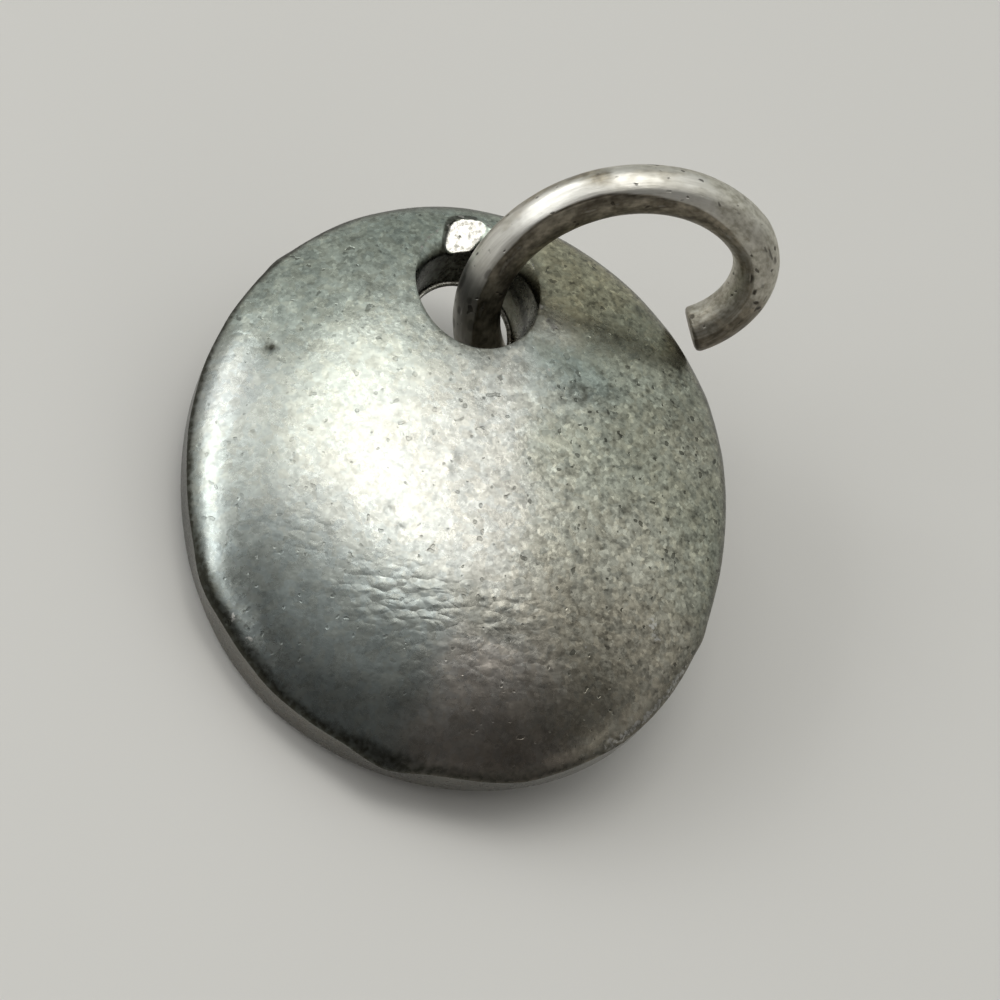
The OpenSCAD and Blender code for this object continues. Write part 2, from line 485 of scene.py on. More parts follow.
# Tints of the tarnish, some made lighter or darker as painted highlight and shade: place x, y, reach in
# millimetres, and the colour of the metal
TINTS_AND_PAINTED_LIGHT = (
    (-4.5, 4.5, 3.6, (0.33, 0.362, 0.322)),
    (-7.4, 2.2, 1.5, (0.317, 0.32, 0.312)),
    (-1.6, 8.4, 1.6, (0.236, 0.266, 0.236)),
    (-1.5, 1.0, 3.6, (0.362, 0.36, 0.34)),
    # Painted highlight: lighter within the dome's highlight
    (0.9, 2.2, 1.4, (0.512, 0.515, 0.49)),
    (4.0, 6.8, 1.9, (0.288, 0.273, 0.194)),
    (5.5, 5.5, 0.8, (0.186, 0.192, 0.148)),
    # Painted light: lighter where the ring's shadow falls beside the hole
    (2.6, 5.1, 0.6, (0.56, 0.56, 0.51)),
    (4.0, 5.0, 0.7, (0.388, 0.408, 0.35)),
    (0.0, 3.5, 0.7, (0.25, 0.255, 0.235)),
    (3.1, 3.6, 1.2, (0.245, 0.29, 0.27)),
    (5.2, 3.9, 0.9, (0.345, 0.36, 0.304)),
    (5.9, 0.5, 3.0, (0.215, 0.219, 0.177)),
    (7.4, 1.6, 1.3, (0.33, 0.322, 0.268)),
    (4.8, -1.8, 1.4, (0.37, 0.36, 0.31)),
    (3.4, 0.8, 1.2, (0.364, 0.376, 0.32)),
    (-4.2, -5.2, 2.8, (0.222, 0.243, 0.236)),
    (-6.8, -4.9, 0.9, (0.125, 0.132, 0.122)),
    # Painted light: lighter low in the middle of the dome
    (0.7, -7.1, 1.4, (0.445, 0.412, 0.385)),
    (0.3, -5.0, 0.7, (0.22, 0.22, 0.198)),
    # Painted highlight: lighter along the tail of the dome's highlight
    (-2.2, -2.2, 1.0, (0.44, 0.442, 0.412)),
    # Painted shade: darker at the bottom of the dome
    (1.2, -8.9, 1.9, (0.15, 0.132, 0.115)),
    (4.6, -5.6, 2.4, (0.252, 0.235, 0.195)),
)

# Borders between the tints wander sideways, by up to this much and in lumps of this size
BORDER_WANDER, BORDER_SIZE = 0.9, 2.2
# Weight of every tint where none is near
LEAST_WEIGHT = 1e-4
# Colour of the side wall, which takes over within this distance of the crease's height
WALL_TINT, WALL_BLEND = (0.205, 0.196, 0.175), 0.02

# Dark stains on the front: place x, y, radius and depth
STAINS = (
    (-6.22, 3.23, 0.19, 1.0),
    (6.68, 4.43, 0.1, 0.7),
    (6.65, 4.17, 0.09, 0.7),
    (7.07, 3.39, 0.12, 0.7),
    (4.47, 5.01, 0.1, 0.6),
    (5.14, 0.62, 0.11, 0.8),
    (6.24, 0.66, 0.13, 0.7),
    (4.6, -0.89, 0.13, 0.7),
    (5.32, 1.34, 0.1, 0.6),
    (5.31, 6.44, 0.18, 0.6),
    (4.01, 6.74, 0.16, 0.5),
)

# A dark ring round a small pit: place x, y, radius of the ring, half its width and depth
DARK_RING = (3.13, 2.75, 0.25, 0.12, 0.62)

# Sides of the disc: middle heading, and the gaps from it up to which a side is whole and gone
LOWER_LEFT, LEFT, WORN_EDGE = (235, 35, 70), (155, 35, 60), (312, 8, 20)
# Painted shade and dark reflection along the crease, with some grime, in general, at the lower left and at
# the left: width in millimetres and depth
CREASE, CREASE_LOWER_LEFT, CREASE_LEFT = (0.34, 0.65), (0.44, 0.9), (0.24, 0.9)
# Its width varies by this share, in waves of this size
CREASE_RAGGED, CREASE_WAVE = 0.4, 0.9
# It is whole up to this share of its width, and fainter beyond these headings, by this factor
CREASE_CORE, CREASE_FAINT_FROM, CREASE_FAINT = 0.1, (240, 275), 0.75
# Painted shade on the side wall at the left, from between these shares of the way out
WALL_BLACK, WALL_FROM = 0.85, (0.9, 0.98)

# Painted shade in the hole, with some patina: black in the shade and on its lit side, which begins between
# these places x
SHADE_BLACK, LIT_BLACK, LIT_FROM = 0.85, 0.22, (0.6, 1.5)
# A band of painted shade on the lit side: depth of its middle under the dome, and half its width
BAND_BELOW, BAND_HALF = 1.15, 0.3
# The hole's black begins between these depths under the dome, and ends this high over the back
BLACK_BELOW, BLACK_LOWEST = (0.1, 0.45), 0.05
# Width of the soft change at the mouth, to either side of its rim
MOUTH_SOFT = 0.06
# Painted shade round the rim of the mouth, its reach, and the values of y - x between which it fades out
RIM_BLACK, RIM_REACH, RIM_FADE = 0.46, 0.22, (6.4, 7.2)
# Painted shade as a black fringe beside the worn flat: where it starts and fades as shares of the flat's
# size, how far it goes across, and how deep under its plane
FRINGE_BLACK, FRINGE_FROM, FRINGE_FADE = 0.75, 0.95, (1.28, 1.36)
FRINGE_ACROSS, FRINGE_BELOW = 0.3, 0.3

# Bare bright specks and painted glints on the front: place x, y, radius and strength
SPECKS_AND_GLINTS = (
    (1.99, 5.59, 0.1, 1.0),
    (2.19, 5.11, 0.1, 1.0),
    (2.39, 4.92, 0.12, 1.0),
    (2.19, 3.37, 0.06, 0.8),
    (2.25, 3.05, 0.05, 0.7),
    (2.34, 2.75, 0.05, 0.7),
    (2.41, 2.44, 0.06, 0.8),
    (-6.28, -5.82, 0.1, 1.0),
    (-6.75, -5.22, 0.08, 1.0),
    (5.7, -4.2, 0.2, 0.7),
    (5.85, -4.55, 0.18, 0.7),
    (4.6, -7.7, 0.1, 0.9),
    (-0.79, -6.25, 0.11, 0.7),
    (0.33, -6.42, 0.2, 0.5),
    (0.83, -7.01, 0.08, 0.7),
    (1.65, -6.01, 0.08, 0.8),
    (-1.9, -6.67, 0.07, 0.7),
    (-2.15, -5.24, 0.08, 0.8),
    (1.54, -5.19, 0.1, 0.6),
    (3.58, -5.24, 0.1, 0.6),
    (-0.38, 8.78, 0.09, 0.9),
    (0.24, 8.68, 0.07, 1.0),
    (0.44, 8.54, 0.08, 0.9),
)
# Painted glints along the mouth's rim: strength, reach, and the place y from which they show
MOUTH_GLINTS, MOUTH_LINE, MOUTH_GLINTS_FROM = 0.45, 0.06, 7
# Bare metal along the worn edge: strength, share of the way out, and reach
EDGE_BARE, EDGE_AT, EDGE_REACH = 0.6, 0.985, 0.012

# Strength of the cast grain, from the left to the right, at the top, and its factor at the bottom
GRIT_LEFT, GRIT_RIGHT, GRIT_TOP, GRIT_BOTTOM = 0.32, 1.1, 0.8, 0.5
# The stretches of x and y over which it changes, and the wander of the first in lumps of this size
GRIT_ACROSS, GRIT_UP, GRIT_DOWN = (-2.0, 4.5), (1.0, 6.0), (-7.5, -5.0)
GRIT_WANDER, GRIT_LUMP = 0.8, 2.0
# A smoother patch beside the hole: place, reach along x and y, slant, and the share it takes away
PATCH_AT, PATCH_REACH, PATCH_SLANT, PATCH_SHARE = (3.4, 4.4), (1.9, 0.9), 0.2, 0.6
# Factor of the grain on the side wall, which fades in over this height under the crease
GRIT_WALL, GRIT_WALL_FADE = 0.5, 0.1


def disc_tint_and_light(points):
    """Colour of the tarnished metal, some of it painted highlight and shade, blended from the nearest tints.
    """
    x, y, z = points.T
    bent_x = x + BORDER_WANDER * noise_at(points, BORDER_SIZE, 11.0)
    bent_y = y + BORDER_WANDER * noise_at(points, BORDER_SIZE, 23.0)
    away = np.array([np.hypot(bent_x - at_x, bent_y - at_y) / reach for at_x, at_y, reach, _ in TINTS_AND_PAINTED_LIGHT])
    weights = bell(away) + LEAST_WEIGHT
    colours = np.array([row[-1] for row in TINTS_AND_PAINTED_LIGHT])
    front = (weights / weights.sum(0)).T @ colours
    wall = 1 - smooth(WALL_H - WALL_BLEND, WALL_H + WALL_BLEND, z)
    outside = mouth_gap(points) >= 0
    return mix(front, np.array(WALL_TINT), (wall * outside)[:, None])


def side_share(heading, side):
    """1 on a side of the disc, fading to nothing round from it."""
    middle, whole, gone = side
    return 1 - smooth(whole, gone, heading_gap(heading, middle))


def crease_shade(points):
    """Painted shade and dark reflection along the crease, with some grime, and painted shade down the wall at
    the left.
    """
    heading = heading_of(points)
    lower_left = side_share(heading, LOWER_LEFT)
    left = side_share(heading, LEFT)
    width, depth = (
        mix(mix(plain, low, lower_left), side, left)
        for plain, low, side in zip(CREASE, CREASE_LOWER_LEFT, CREASE_LEFT)
    )
    width = width * (1 + CREASE_RAGGED * noise_on_plan(points, CREASE_WAVE, 2.0))
    depth = depth * mix(1.0, CREASE_FAINT, smooth(*CREASE_FAINT_FROM, heading))
    to_crease = (1 - reach_of(points)) * edge_radius(np.radians(heading))
    in_crease = on_front(points) * depth * (1 - smooth(CREASE_CORE, 1.0, to_crease / width))
    on_wall = smooth(*WALL_FROM, reach_of(points)) * ~on_front(points)
    return np.maximum(in_crease, WALL_BLACK * left * on_wall)


def spot_stain(points):
    """Black spots and the dark ring on the front."""
    x, y, radius, half, depth = DARK_RING
    away = np.hypot(points[:, 0] - x, points[:, 1] - y) - radius
    black_share = depth * bell(away / half) * on_front(points)
    for x, y, radius, depth in STAINS:
        black_share = np.maximum(black_share, depth * near(points, x, y, radius))
    return black_share


def mouth_shade(points):
    """Painted shade round the rim of the mouth, and as a fringe beside the worn flat."""
    x, y, _ = points.T
    rim = bell(np.maximum(mouth_gap(points), 0) / RIM_REACH) * (1 - smooth(*RIM_FADE, y - x))
    away, across, height = flat_place(points)
    beside = (away > FRINGE_FROM) * (across < FRINGE_ACROSS) * (height > -FRINGE_BELOW)
    fringe = (1 - smooth(*FRINGE_FADE, away)) * beside
    return np.maximum(RIM_BLACK * rim, FRINGE_BLACK * fringe) * on_front(points)


def hole_shade(points):
    """Painted shade on the hole's wall, with some patina, fainter on its lit side but for one band."""
    x, y, z = points.T
    below = dome_height(x, y) - z
    inside = 1 - smooth(-MOUTH_SOFT, MOUTH_SOFT, mouth_gap(points))
    wall = inside * smooth(*BLACK_BELOW, below) * (z > BLACK_LOWEST)
    lit_black = mix(LIT_BLACK, SHADE_BLACK, bell((below - BAND_BELOW) / BAND_HALF))
    return mix(SHADE_BLACK, lit_black, smooth(*LIT_FROM, x)) * wall * (1 - flat_share(points))


def disc_stain_and_shade(points):
    """Share of black at each point: tarnish and stains, and painted shade in the crease, round the mouth and
    in the hole.
    """
    parts = (crease_shade, spot_stain, mouth_shade, hole_shade)
    return np.max([part(points) for part in parts], 0)


def disc_bare_and_glints(points):
    """Share of bare bright metal and painted glints: worn flat, specks and glints, flash, glints along the
    mouth's rim, and the worn edge.
    """
    bare_and_glints = np.maximum(flat_share(points), flash_crest(points))
    for x, y, radius, strength in SPECKS_AND_GLINTS:
        bare_and_glints = np.maximum(bare_and_glints, strength * near(points, x, y, radius))
    far_rim = (points[:, 1] > MOUTH_GLINTS_FROM) * on_front(points)
    rim = MOUTH_GLINTS * bell(mouth_gap(points) / MOUTH_LINE) * far_rim
    worn_side = side_share(heading_of(points), WORN_EDGE)
    edge = EDGE_BARE * bell((reach_of(points) - EDGE_AT) / EDGE_REACH) * worn_side
    return np.max([bare_and_glints, rim, edge], 0)


def disc_grit(points):
    """Strength of the cast grain: weak on the left, strong on the right, and weaker in one patch."""
    x, y, z = points.T
    right = smooth(*GRIT_ACROSS, x + GRIT_WANDER * noise_at(points, GRIT_LUMP, 31.0))
    top = GRIT_TOP * smooth(*GRIT_UP, y)
    bottom = mix(GRIT_BOTTOM, 1.0, smooth(*GRIT_DOWN, y))
    patch_x, patch_y = x - PATCH_AT[0], y - PATCH_AT[1]
    slanted = patch_y - PATCH_SLANT * patch_x
    patch = bell(np.hypot(patch_x / PATCH_REACH[0], slanted / PATCH_REACH[1]))
    front = mix(GRIT_WALL, 1.0, smooth(WALL_H - GRIT_WALL_FADE, WALL_H, z))
    grit = np.maximum(mix(GRIT_LEFT, GRIT_RIGHT, right), top)
    return grit * bottom * (1 - PATCH_SHARE * patch) * front


def disc_wrinkles(points):
    """Strength of the wrinkles on the dome."""
    strength = np.zeros(len(points))
    for x, y, reach_x, reach_y, depth in WRINKLES:
        away = np.hypot((points[:, 0] - x) / reach_x, (points[:, 1] - y) / reach_y)
        strength = np.maximum(strength, depth * bell(away))
    return strength * on_front(points)


# Range of nearly all of the noise texture's values
NOISE_LOW, NOISE_HIGH = 0.3, 0.7
# How far the borders of cells wander, as a share of a cell
CELL_WOBBLE = 0.9


def feed(tree, socket, value):
    """Link an input to another node's output, or set it to a value."""
    if isinstance(value, bpy.types.NodeSocket):
        tree.links.new(value, socket)
    else:
        socket.default_value = (*value, 1) if socket.type == "RGBA" else value


def node(tree, kind, *values, options=None, **named):
    """A shader node. Its inputs take values or outputs, by their order or by their names."""
    made = tree.nodes.new(kind)
    for name, value in (options or {}).items():
        setattr(made, name, value)
    for socket, value in zip(made.inputs, values):
        feed(tree, socket, value)
    for name, value in named.items():
        feed(tree, made.inputs[name], value)
    return made


def new_material(name):
    material = bpy.data.materials.new(name)
    material.use_nodes = True
    tree = material.node_tree
    return material, tree, tree.nodes["Principled BSDF"]


def attribute(tree, name, output="Fac"):
    return node(tree, "ShaderNodeAttribute", options={"attribute_name": name}).outputs[output]


def noise_node(tree, place, scale, detail=2.0, rough=0.5):
    made = node(tree, "ShaderNodeTexNoise", Vector=place, Scale=scale, Detail=detail, Roughness=rough)
    return made.outputs["Fac"]


def ramp(tree, value, low, high, to_low=0.0, to_high=1.0):
    """A value's run from low to high, spread over another run and held at its ends."""
    return node(tree, "ShaderNodeMapRange", value, low, high, to_low, to_high).outputs["Result"]


def swing(tree, value, to_low, to_high):
    """Noise spread over the given range."""
    return ramp(tree, value, NOISE_LOW, NOISE_HIGH, to_low, to_high)


def blend(tree, share, first, second):
    made = node(tree, "ShaderNodeMix", share, options={"data_type": "RGBA"})
    colours = [socket for socket in made.inputs if socket.type == "RGBA"]
    for socket, value in zip(colours, (first, second)):
        feed(tree, socket, value)
    return next(socket for socket in made.outputs if socket.type == "RGBA")


def calculate(tree, operation, values):
    """One operation over two or more values in turn."""
    result = values[0]
    for value in values[1:]:
        made = node(tree, "ShaderNodeMath", result, value, options={"operation": operation})
        result = made.outputs["Value"]
    return result


def plus(tree, *values):
    return calculate(tree, "ADD", values)


def product(tree, *values):
    return calculate(tree, "MULTIPLY", values)


def larger(tree, *values):
    return calculate(tree, "MAXIMUM", values)


def vector(tree, operation, *values, **named):
    made = node(tree, "ShaderNodeVectorMath", *values, options={"operation": operation}, **named)
    return made.outputs["Vector"]


def times(tree, colour, factor):
    """A colour scaled by a factor."""
    return vector(tree, "SCALE", colour, Scale=factor)


def squashed(tree, place, sizes):
    """Coordinates scaled along each axis."""
    return vector(tree, "MULTIPLY", place, sizes)


def cells(tree, place, scale):
    """Outputs of a pattern of small uneven cells."""
    wobble = node(tree, "ShaderNodeTexNoise", Vector=place, Scale=scale, Detail=1.0).outputs["Color"]
    moved = vector(tree, "ADD", place, vector(tree, "SCALE", wobble, Scale=CELL_WOBBLE / scale))
    return node(tree, "ShaderNodeTexVoronoi", Vector=moved, Scale=scale).outputs


def mosaic(tree, place, scale):
    """Small uneven patches with shades of their own, from 0 to 1."""
    return node(tree, "ShaderNodeSeparateColor", Color=cells(tree, place, scale)["Color"]).outputs


def pebbles(tree, place, scale):
    """Rounded humps with narrow valleys between them."""
    return ramp(tree, cells(tree, place, scale)["Distance"], 0.1, 0.8, 1.0, 0.0)


def finish_metal(tree, shader, colour, roughness, height):
    """Join colour, roughness and height in millimetres to a metal's shader."""
    normal = node(tree, "ShaderNodeBump", Strength=1.0, Distance=MM, Height=height).outputs["Normal"]
    parts = {"Metallic": 1.0, "Base Color": colour, "Roughness": roughness, "Normal": normal}
    for name, value in parts.items():
        feed(tree, shader.inputs[name], value)


# Colours of the disc: its black of tarnish and painted shade, bare metal and painted glints, and the cooler
# and warmer patches' factors
TARNISH_AND_SHADE = (0.045, 0.045, 0.036)
BARE_AND_GLINT_DARK, BARE_AND_GLINT_LIGHT = (0.17, 0.165, 0.15), (0.42, 0.41, 0.385)
COOLER, WARMER = (0.985, 1.0, 1.01), (1.015, 1.0, 0.975)
# Scales of the disc's patterns, in lumps to the millimetre
LUMPS, GRAIN, FINE, BLOTCH, SALT, PATCHES, PITS, WORN = 2.6, 6.0, 9.0, 1.1, 9.0, 4.2, 3.4, 5.0
FOLDS = (1.9, 3.2, 1.9)
# Heights of the disc's bumps, in millimetres
GRAIN_RISE, LUMP_RISE, FOLD_RISE, PIT_DROP = 0.006, 0.006, 0.014, -0.015


def cast_mottle(tree, place, lumps, grain, fine, patches):
    """Light and dark of the cast grain, about nothing."""
    salt = mosaic(tree, place, SALT)
    return plus(
        tree,
        ramp(tree, salt["Red"], 0.15, 0.85, -0.14, 0.16),
        swing(tree, lumps, -0.24, 0.24),
        ramp(tree, patches["Red"], 0.2, 0.8, -0.14, 0.14),
        swing(tree, grain, -0.22, 0.22),
        ramp(tree, fine, 0.3, 0.38, -0.16, 0.0),
        ramp(tree, salt["Green"], 0.8, 0.92, 0.0, 0.4),
    )


def cast_metal():
    """Grey cast metal with tarnish, grain, wrinkles, black stains and painted shade, bare spots and painted
    glints, and tints that paint some highlight and shade.
    """
    material, tree, shader = new_material("cast_metal")
    place, tone_and_painted_light = (attribute(tree, name, "Vector") for name in ("cast_mm", "tone_and_painted_light"))
    black_share, bare_and_glints, grit, wrinkles = (attribute(tree, name) for name in ("black_share", "bare_and_glints", "grit", "wrinkles"))
    lumps = noise_node(tree, place, LUMPS, 3.0, 0.6)
    grain = noise_node(tree, place, GRAIN, 1.0)
    fine = noise_node(tree, place, FINE, 1.0)
    blotch = noise_node(tree, place, BLOTCH, 3.0, 0.6)
    patches = mosaic(tree, place, PATCHES)
    folds = pebbles(tree, squashed(tree, place, FOLDS), 1.0)
    pit = product(tree, ramp(tree, noise_node(tree, place, PITS, 1.0), 0.7, 0.73), grit)

    shade = plus(tree, product(tree, cast_mottle(tree, place, lumps, grain, fine, patches), grit), 1.0)
    hue = blend(tree, ramp(tree, patches["Blue"], 0.3, 0.7), COOLER, WARMER)
    hued = vector(tree, "MULTIPLY", tone_and_painted_light, hue)
    colour = times(tree, hued, product(tree, shade, swing(tree, blotch, 0.92, 1.08)))
    # The black share is tarnish and stains, and painted shade in the crease, round the mouth and in the hole
    ragged = plus(tree, black_share, swing(tree, grain, -0.16, 0.16))
    black = larger(tree, product(tree, pit, 0.7), ramp(tree, ragged, 0.05, 0.9))
    colour = blend(tree, black, colour, TARNISH_AND_SHADE)
    worn = ramp(tree, noise_node(tree, place, WORN, 3.0, 0.65), 0.36, 0.54)
    # Bare metal and painted glints take the lighter bare colour
    shine = ramp(tree, plus(tree, bare_and_glints, swing(tree, fine, -0.3, 0.3)), 0.4, 0.62)
    colour = blend(tree, shine, colour, blend(tree, worn, BARE_AND_GLINT_DARK, BARE_AND_GLINT_LIGHT))

    rough = plus(tree, swing(tree, blotch, 0.25, 0.31), ramp(tree, grain, 0.35, 0.65, 0.02, -0.02))
    height = plus(
        tree,
        product(tree, grain, grit, GRAIN_RISE),
        product(tree, lumps, LUMP_RISE),
        product(tree, folds, wrinkles, FOLD_RISE),
        product(tree, pit, PIT_DROP),
    )
    finish_metal(tree, shader, colour, rough, height)
    return material


# Colours of the wire, each from its darker to its lighter shade, and its black
WIRE_BRIGHT = ((0.55, 0.53, 0.49), (0.71, 0.69, 0.645))
WIRE_DULL = ((0.38, 0.358, 0.3), (0.58, 0.556, 0.487))
# The brown also paints the shade of the wire's inner side
WIRE_BROWN_AND_SHADE = ((0.15, 0.13, 0.098), (0.31, 0.275, 0.215))
WIRE_BLACK = (0.04, 0.033, 0.026)
# Lines, grain, patches, blotches and pits of the wire: lumps to the millimetre along it and across
# it, detail and roughness
WIRE_PATTERNS = (
    ((0.5, 7.0, 7.0), 2.0, 0.6),
    ((4.5, 6.5, 6.5), 2.0, 0.55),
    ((1.6, 2.4, 2.4), 2.0, 0.6),
    ((0.8, 1.3, 1.3), 3.0, 0.6),
    ((3.0, 4.0, 4.0), 1.0, 0.5),
)
# Heights of the wire's bumps, in millimetres
LINE_RISE, WIRE_GRAIN_RISE, PATCH_RISE, BLACK_DROP = 0.008, 0.006, 0.008, -0.02


def wire_metal():
    """Drawn wire, brighter than the disc, with fine lines, brown grime and painted shade, and pits."""
    material, tree, shader = new_material("wire_metal")
    place = attribute(tree, "wire_mm", "Vector")
    grime_and_shade, olive, cuts = (attribute(tree, name) for name in ("grime_and_shade", "olive", "cuts"))
    lines, grain, patches, blotch, hollows = (
        noise_node(tree, squashed(tree, place, scales), 1.0, detail, rough)
        for scales, detail, rough in WIRE_PATTERNS
    )

    bright = blend(tree, ramp(tree, lines, 0.35, 0.65), *WIRE_BRIGHT)
    dull = blend(tree, ramp(tree, grain, 0.35, 0.62), *WIRE_DULL)
    dulled = ramp(tree, plus(tree, olive, swing(tree, blotch, -0.3, 0.3)), 0.25, 0.85)
    streaks = plus(tree, swing(tree, lines, -0.16, 0.16), swing(tree, patches, -0.22, 0.22))
    dirt_and_shade = ramp(tree, plus(tree, grime_and_shade, streaks), 0.2, 0.85)
    brown = blend(tree, ramp(tree, patches, 0.4, 0.6), *WIRE_BROWN_AND_SHADE)
    speckled = times(tree, brown, swing(tree, grain, 0.7, 1.3))
    pits = ramp(tree, hollows, 0.68, 0.73)
    black = larger(tree, cuts, product(tree, pits, 0.7))
    colour = blend(tree, dirt_and_shade, blend(tree, dulled, bright, dull), speckled)
    colour = blend(tree, black, colour, WIRE_BLACK)

    clean = swing(tree, blotch, 0.38, 0.46)
    rough = plus(tree, clean, product(tree, dulled, 0.05), product(tree, dirt_and_shade, 0.04))
    height = plus(
        tree,
        product(tree, lines, LINE_RISE),
        product(tree, grain, WIRE_GRAIN_RISE),
        product(tree, patches, PATCH_RISE),
        product(tree, black, BLACK_DROP),
    )
    finish_metal(tree, shader, colour, rough, height)
    return material


# The floor: two close shades of pale grey, the scale of its soft clouds, and half its side in metres
FLOOR_SHADES = ((0.66, 0.642, 0.62), (0.69, 0.672, 0.65))
FLOOR_CLOUDS, FLOOR_ROUGHNESS, FLOOR_HALF = 30, 0.6, 1.5


def floor_paint():
    """Pale matt grey with faint clouds."""
    material, tree, shader = new_material("floor_paint")
    place = node(tree, "ShaderNodeTexCoord").outputs["Object"]
    clouds = noise_node(tree, place, FLOOR_CLOUDS, 2.0)
    feed(tree, shader.inputs["Base Color"], blend(tree, clouds, *FLOOR_SHADES))
    feed(tree, shader.inputs["Roughness"], FLOOR_ROUGHNESS)
    return material


def add_object(name, data):
    made = bpy.data.objects.new(name, data)
    bpy.context.scene.collection.objects.link(made)
    return made


def make_piece(name, mesh, material, replaced):
    mesh.materials.append(material)
    piece = add_object(name, mesh)
    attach(piece, "root")
    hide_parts(replaced)


def make_disc(grid, turn, shift):
    mesh = grid_mesh("disc_cast", grid, closed_rows=True)
    points = grid.reshape(-1, 3)
    skin = points + mesh_normals(mesh) * disc_relief(points)[:, None]
    skin = wander_crease(wear_flat(skin))
    add_attribute(mesh, "cast_mm", points)
    paints = {
        "tone_and_painted_light": disc_tint_and_light, "black_share": disc_stain_and_shade, "bare_and_glints": disc_bare_and_glints, "grit": disc_grit,
        "wrinkles": disc_wrinkles,
    }
    for name, paint in paints.items():
        add_attribute(mesh, name, paint(skin))
    set_points(mesh, (skin @ turn.T + shift) * MM)
    make_piece("disc_cast", mesh, cast_metal(), "disc")


def wire_radius(way, length):
    """Radius of the wire along its way, rounded off at both cut ends."""
    bend_length = BEND_R * math.radians(BEND_SWEEP)
    thicker = smooth(bend_length - END_BLEND, bend_length, way)
    radius = mix(BEND_WIRE_D, WIRE_D, thicker) / 2
    to_end = np.minimum(way, length - way)
    inside = np.clip(1 - to_end / END_ROUND, 0, 1)
    return radius - END_ROUND * (1 - np.sqrt(1 - inside ** 2))


# The ring's rubbed top: its direction round the wire in degrees, and in millimetres its distance
# from the middle of the wire and the softness of its edges
RUB_AT, RUB_OUT, RUB_SOFT = 29, 0.712, 0.025
# Its stretch of the wire: where it starts, is whole, ends and is gone, as in the stretches below
RUB_WAY = (6.0, 8.0, 13.5, 15.5)
# The flat is worked out only this close to its own direction, and is out of reach beyond
RUB_COSINE, OUT_OF_REACH = 0.2, 9

# Dents of the wire: height and size in millimetres, and offset of the noise
WIRE_DENTS = ((0.012, 1.6, 8.0), (0.005, 0.6, 9.0))

# Noise in lumps of this size shifts the ring's colours: the two limits of the grime and painted shade by
# degrees, spots and marks by shares of their reach, and the olive tarnish by a share
PAINT_LUMP, FROM_WANDER, TO_WANDER = 0.9, 2, 4
SPOT_WANDER, MARK_WANDER, OLIVE_WANDER = 0.3, 0.35, 0.3
# Softness of the two limits of the grime and painted shade in degrees, and of a black mark's edge as shares
# of its reach
FROM_SOFT, TO_SOFT, MARK_FADE = 4, 8, (0.6, 1.1)

# Grime and painted shade lie on the inner side, between two limits: way along the wire and degrees round it
GRIME_AND_SHADE_FROM = (
    (0, 104), (2.6, 104), (3.4, 108), (5.0, 106), (6.3, 92), (7.2, 82), (8.2, 73), (9.2, 64), (10.2, 52),
    (11.2, 52), (12.6, 58), (13.6, 62), (14.5, 66), (15.5, 70), (17, 70), (25, 60),
)
GRIME_AND_SHADE_TO = ((0, 133), (3.2, 136), (4.5, 165), (6, 190), (25, 190))
# It is fainter on the bent end, and a little lies all round beyond the rubbed top
BENT_GRIME_AND_SHADE, BENT_FADE, TAIL_GRIME_AND_SHADE, TAIL_FADE = 0.65, (5, 7), 0.2, (14, 16)
# Grime and painted shade on the outer side of the arch, up to these degrees, and round the cut and the bent
# end
OUTER_GRIME_AND_SHADE, OUTER_WAY, OUTER_ROUND = 0.62, (9, 10.5, 13.5, 15), (-14, 4)
CUT_GRIME_AND_SHADE, CUT_FADE = 0.6, (0.0, 0.35)
SIDE_GRIME_AND_SHADE, SIDE_FADE, SIDE_ROUND = 0.45, (1.5, 3.0), (125, 135)
# A dull face on the bent end, whose grime and painted shade hide the metal and whose marks are faintly black
DULL_GRIME_AND_SHADE, DULL_BLACK, DULL_FADE, DULL_ROUND = 0.95, 0.2, (1.6, 3.2), (30, 44, 100, 108)
# A black seam along the first limit of the grime and painted shade: depth, degrees past it, half its width,
# and stretch
SEAM_BLACK, SEAM_PAST, SEAM_HALF, SEAM_WAY = 0.6, 4, 2.5, (7, 9, 13, 14)
# Olive tarnish is stronger on the outer side, by this much over these degrees
OUTER_OLIVE, OLIVE_ROUND = 0.35, (-20, 10)

# Black marks on the ring: way along the wire, degrees round it, reach along and round, and depth
CUTS = (
    (2.15, 50, 0.07, 9, 0.8),
    (2.25, 66, 0.07, 10, 0.9),
    (2.45, 84, 0.08, 9, 0.9),
    (2.85, 100, 0.16, 6, 0.9),
    (3.4, 114, 0.26, 5, 0.9),
    (3.85, 48, 0.14, 6, 0.6),
    (4.15, 58, 0.24, 4, 0.8),
    (4.42, 66, 0.12, 4, 0.7),
    (6.0, 54, 0.08, 4, 0.5),
    (2.6, 62, 0.12, 3, 0.5),
    (3.1, 84, 0.1, 4, 0.5),
    (14.3, 62, 0.22, 8, 0.5),
    (15.1, 8, 0.3, 10, 0.5),
    (15.4, 50, 0.16, 9, 0.45),
    (15.9, 28, 0.14, 8, 0.5),
    (16.2, 66, 0.25, 9, 0.5),
    (16.5, 12, 0.18, 9, 0.5),
)

# Dull spots of tarnish on the rubbed top, which also paint shade into its highlight: way along the wire,
# degrees round it, reach along and round, strength
SHADED_DULL_SPOTS = (
    (10.1, 5, 0.55, 26, 0.8),
    (8.9, 12, 1.0, 16, 0.55),
    (12.7, 10, 0.5, 20, 0.4),
)

# Olive tarnish: way along the wire and share
OLIVE_ALONG = ((0, 0.9), (6.0, 0.85), (7.8, 0.45), (9.0, 0.25), (12.5, 0.25), (14.5, 0.2), (25, 0.4))


def by_table(table, way):
    """Value of a table at each place along the wire."""
    return np.interp(way, *zip(*table))


